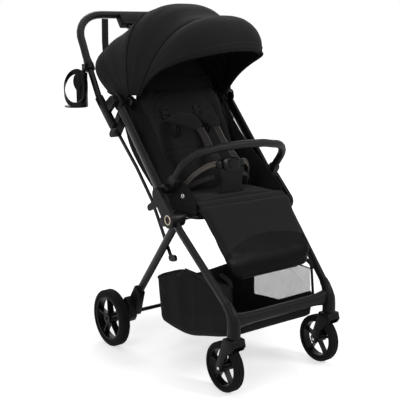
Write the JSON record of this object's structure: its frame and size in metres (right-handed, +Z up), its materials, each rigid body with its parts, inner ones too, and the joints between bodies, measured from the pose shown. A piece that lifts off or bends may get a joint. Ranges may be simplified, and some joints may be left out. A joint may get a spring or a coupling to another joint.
{
  "type": "compact stroller",
  "caption": "Compact four-wheel child stroller with crossed folding frame, segmented canopy, padded seat, bumper bar, leg rest, basket, swivel front casters and a clamp-on cup holder.",
  "frame": {"origin": "centre of the bounding box at floor level; the stroller faces -Y", "axes": "+Z up; +X to the stroller's own left, across its width"},
  "size_m": [0.5692, 0.8156, 1.0263],
  "materials": {
    "tube": "satin",
    "plastic": "matte",
    "tyre": "matte",
    "fabric": "woven",
    "leather": "satin",
    "webbing": "woven",
    "ring": "satin",
    "button": "gloss"
  },
  "bodies": {
    "rear_wheel_right": {"rear_tyre_right": "tyre", "rear_rim_right": "plastic"},
    "rear_wheel_left": {"rear_tyre_left": "tyre", "rear_rim_left": "plastic"},
    "front_wheel_right": {"front_tyre_right": "tyre", "front_rim_right": "plastic"},
    "caster_right": {"caster_fork_right": "plastic"},
    "front_wheel_left": {"front_tyre_left": "tyre", "front_rim_left": "plastic"},
    "caster_left": {"caster_fork_left": "plastic"},
    "stroller": {"front_frame": "plastic", "front_leg_right": "tube", "front_leg_left": "tube", "seat_rail": "tube", "seat_sling": "fabric", "seat_pad": "fabric", "basket": "fabric", "waist_belt": "webbing"},
    "rear_legs": {"rear_leg_right": "tube", "rear_foot_right": "plastic", "rear_leg_left": "tube", "rear_foot_left": "plastic", "rear_axle_bar": "tube"},
    "brake_pedal": {"brake_pedal": "plastic"},
    "upper_frame": {"upper_tube_right": "tube", "top_cap_right": "plastic", "hub_cover_right": "plastic", "hub_ring_right": "ring", "side_stay_right": "tube", "upper_tube_left": "tube", "top_cap_left": "plastic", "hub_cover_left": "plastic", "hub_ring_left": "ring", "side_stay_left": "tube", "canopy_rear": "fabric"},
    "handle": {"handle_grip": "leather", "handle_tube_right": "tube", "sleeve_right": "plastic", "handle_tube_left": "tube", "sleeve_left": "plastic", "fold_housing": "plastic", "cup_clamp": "plastic"},
    "fold_trigger": {"fold_trigger": "button"},
    "safety_button": {"safety_button": "button"},
    "cup_holder": {"cup_holder": "plastic"},
    "backrest": {"backrest_frame": "tube", "backrest_pad": "fabric", "shoulder_strap_right": "webbing", "shoulder_strap_left": "webbing"},
    "leg_rest": {"leg_rest_frame": "tube", "leg_rest_pad": "fabric", "footrest_pad": "leather"},
    "canopy_middle": {"canopy_middle": "fabric"},
    "canopy_front": {"canopy_front": "fabric"},
    "crotch_strap": {"crotch_pad": "fabric", "buckle": "plastic"},
    "buckle_button": {"buckle_button": "button"},
    "bumper": {"bumper_bar": "leather"},
    "bumper_button_right": {"bumper_button_right": "button"},
    "bumper_button_left": {"bumper_button_left": "button"}
  },
  "joints": [
    {"name": "frame_fold", "type": "hinge", "parent": "stroller", "child": "upper_frame", "pos_m": [0.02158, -0.14529, 0.441], "axis": [1, 0, 0], "range_deg": [0, 120], "deforming": ["seat_sling"]},
    {"name": "handle_fold", "type": "hinge", "parent": "upper_frame", "child": "handle", "pos_m": [0.02158, 0.13697, 0.74795], "axis": [1, 0, 0], "range_deg": [-138, 0]},
    {"name": "rear_legs_fold", "type": "hinge", "parent": "stroller", "child": "rear_legs", "pos_m": [0.02158, -0.14529, 0.441], "axis": [1, 0, 0], "range_deg": [-36, 0]},
    {"name": "bumper_fold", "type": "hinge", "parent": "upper_frame", "child": "bumper", "pos_m": [0.02158, -0.10129, 0.52], "axis": [1, 0, 0], "range_deg": [-60, 0]},
    {"name": "crotch_strap_fold", "type": "hinge", "parent": "stroller", "child": "crotch_strap", "pos_m": [0.02158, -0.14379, 0.488], "axis": [1, 0, 0], "range_deg": [0, 90], "deforming": ["waist_belt"]},
    {"name": "canopy_middle_fold", "type": "hinge", "parent": "upper_frame", "child": "canopy_middle", "pos_m": [0.02158, 0.09431, 0.7445], "axis": [1, 0, 0], "range_deg": [-25, 0], "deforming": ["canopy_middle", "canopy_rear"]},
    {"name": "canopy_front_fold", "type": "hinge", "parent": "canopy_middle", "child": "canopy_front", "pos_m": [0.02158, 0.09431, 0.7445], "axis": [1, 0, 0], "range_deg": [-25, 0], "deforming": ["canopy_front"]},
    {"name": "backrest_recline", "type": "hinge", "parent": "upper_frame", "child": "backrest", "pos_m": [0.02158, -0.01829, 0.455], "axis": [1, 0, 0], "range_deg": [-30, 0]},
    {"name": "leg_rest_raise", "type": "hinge", "parent": "stroller", "child": "leg_rest", "pos_m": [0.02158, -0.19819, 0.4638], "axis": [1, 0, 0], "range_deg": [-45, 0]},
    {"name": "caster_swivel_left", "type": "hinge", "parent": "stroller", "child": "caster_left", "pos_m": [0.19758, -0.37529, 0.159], "axis": [0, 0, 1], "continuous": true},
    {"name": "front_wheel_spin_left", "type": "hinge", "parent": "caster_left", "child": "front_wheel_left", "pos_m": [0.19758, -0.33879, 0.069], "axis": [1, 0, 0], "continuous": true},
    {"name": "rear_wheel_spin_left", "type": "hinge", "parent": "rear_legs", "child": "rear_wheel_left", "pos_m": [0.26658, 0.13021, 0.087], "axis": [1, 0, 0], "continuous": true},
    {"name": "caster_swivel_right", "type": "hinge", "parent": "stroller", "child": "caster_right", "pos_m": [-0.15442, -0.37529, 0.159], "axis": [0, 0, 1], "continuous": true},
    {"name": "front_wheel_spin_right", "type": "hinge", "parent": "caster_right", "child": "front_wheel_right", "pos_m": [-0.15442, -0.33879, 0.069], "axis": [1, 0, 0], "continuous": true},
    {"name": "rear_wheel_spin_right", "type": "hinge", "parent": "rear_legs", "child": "rear_wheel_right", "pos_m": [-0.22342, 0.13021, 0.087], "axis": [1, 0, 0], "continuous": true},
    {"name": "brake_pedal_tilt", "type": "hinge", "parent": "rear_legs", "child": "brake_pedal", "pos_m": [0.02158, 0.07471, 0.112], "axis": [1, 0, 0], "range_deg": [-15, 15]},
    {"name": "cup_holder_swivel", "type": "hinge", "parent": "handle", "child": "cup_holder", "pos_m": [-0.21042, 0.27836, 0.83939], "axis": [1, 0, 0], "range_deg": [-25, 25]},
    {"name": "fold_trigger_pull", "type": "slide", "parent": "handle", "child": "fold_trigger", "axis": [0, 0.5976, 0.8018], "range_m": [0, 0.012], "stiffness_N_per_m": 400, "springref_m": -0.003},
    {"name": "safety_button_press", "type": "slide", "parent": "handle", "child": "safety_button", "axis": [0, -0.8018, 0.5976], "range_m": [0, 0.003], "stiffness_N_per_m": 500, "springref_m": -0.001},
    {"name": "buckle_button_press", "type": "slide", "parent": "crotch_strap", "child": "buckle_button", "axis": [0, 0.9703, -0.2419], "range_m": [0, 0.002], "stiffness_N_per_m": 500, "springref_m": -0.001},
    {"name": "bumper_button_press_left", "type": "slide", "parent": "bumper", "child": "bumper_button_left", "axis": [1, 0, 0], "range_m": [0, 0.0025], "stiffness_N_per_m": 400, "springref_m": -0.001},
    {"name": "bumper_button_press_right", "type": "slide", "parent": "bumper", "child": "bumper_button_right", "axis": [-1, 0, 0], "range_m": [0, 0.0025], "stiffness_N_per_m": 400, "springref_m": -0.001}
  ],
  "couplings": [
    {"joint": "handle_fold", "follows": "frame_fold", "ratio": -1.15},
    {"joint": "rear_legs_fold", "follows": "frame_fold", "ratio": -0.3},
    {"joint": "bumper_fold", "follows": "frame_fold", "ratio": -0.5},
    {"joint": "crotch_strap_fold", "follows": "frame_fold", "ratio": 0.75},
    {"joint": "canopy_front_fold", "follows": "canopy_middle_fold", "ratio": 1}
  ]
}
